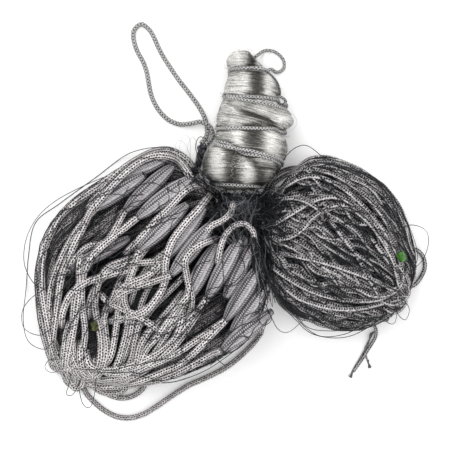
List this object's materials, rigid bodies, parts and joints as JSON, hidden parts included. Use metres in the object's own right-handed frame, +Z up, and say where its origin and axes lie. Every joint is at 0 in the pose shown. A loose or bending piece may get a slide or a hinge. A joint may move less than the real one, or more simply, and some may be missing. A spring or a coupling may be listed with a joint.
{
  "type": "bundled fishing net",
  "caption": "Fishing net gathered for storage: a skein of sleeved float line, a darker skein of lead line and a tapering bundle of pale fine netting, with a cord loop to hang it by.",
  "frame": {"origin": "on the flat underside of the gathered neck, where the two skeins and the pale bundle meet", "axes": "+Z up from the surface that the net lies on, +X towards the lead-line skein, +Y towards the crown of the pale bundle"},
  "size_m": [0.3946, 0.4047, 0.0812],
  "materials": {
    "float_line": "knitted sleeve, light grey",
    "float_sleeve": "foam float in a stretched knitted sleeve",
    "lead_line": "braided, dark grey",
    "dark_netting": "fine twine, black",
    "pale_netting": "clear monofilament, satin",
    "braided_cord": "braided, pale grey",
    "green_marker": "matte",
    "olive_marker": "matte"
  },
  "bodies": {
    "root": {"bundle_lashing": "braided_cord", "crown_loop": "braided_cord", "float_01": "float_sleeve", "float_02": "float_sleeve", "float_03": "float_sleeve", "float_04": "float_sleeve", "float_05": "float_sleeve", "float_06": "float_sleeve", "float_07": "float_sleeve", "float_08": "float_sleeve", "float_09": "float_sleeve", "float_10": "float_sleeve", "float_11": "float_sleeve", "float_12": "float_sleeve", "float_13": "float_sleeve", "float_14": "float_sleeve", "float_line_skein": "float_line", "float_line_turn_01": "float_line", "float_line_turn_02": "float_line", "float_line_turn_03": "float_line", "float_line_turn_04": "float_line", "float_line_turn_05": "float_line", "float_line_turn_06": "float_line", "float_line_turn_07": "float_line", "float_line_turn_08": "float_line", "float_line_turn_09": "float_line", "gathered_neck": "dark_netting", "green_marker": "green_marker", "hanging_loop": "braided_cord", "lead_01": "lead_line", "lead_02": "lead_line", "lead_03": "lead_line", "lead_04": "lead_line", "lead_05": "lead_line", "lead_06": "lead_line", "lead_07": "lead_line", "lead_08": "lead_line", "lead_line_skein": "lead_line", "lead_line_turn_01": "lead_line", "lead_line_turn_02": "lead_line", "lead_line_turn_03": "lead_line", "lead_line_turn_04": "lead_line", "loop_whipping": "dark_netting", "low_loop": "float_line", "netting_bundle": "pale_netting", "olive_marker": "olive_marker", "side_loop": "lead_line", "tail_end": "lead_line", "trailing_loop": "float_line"}
  },
  "joints": []
}
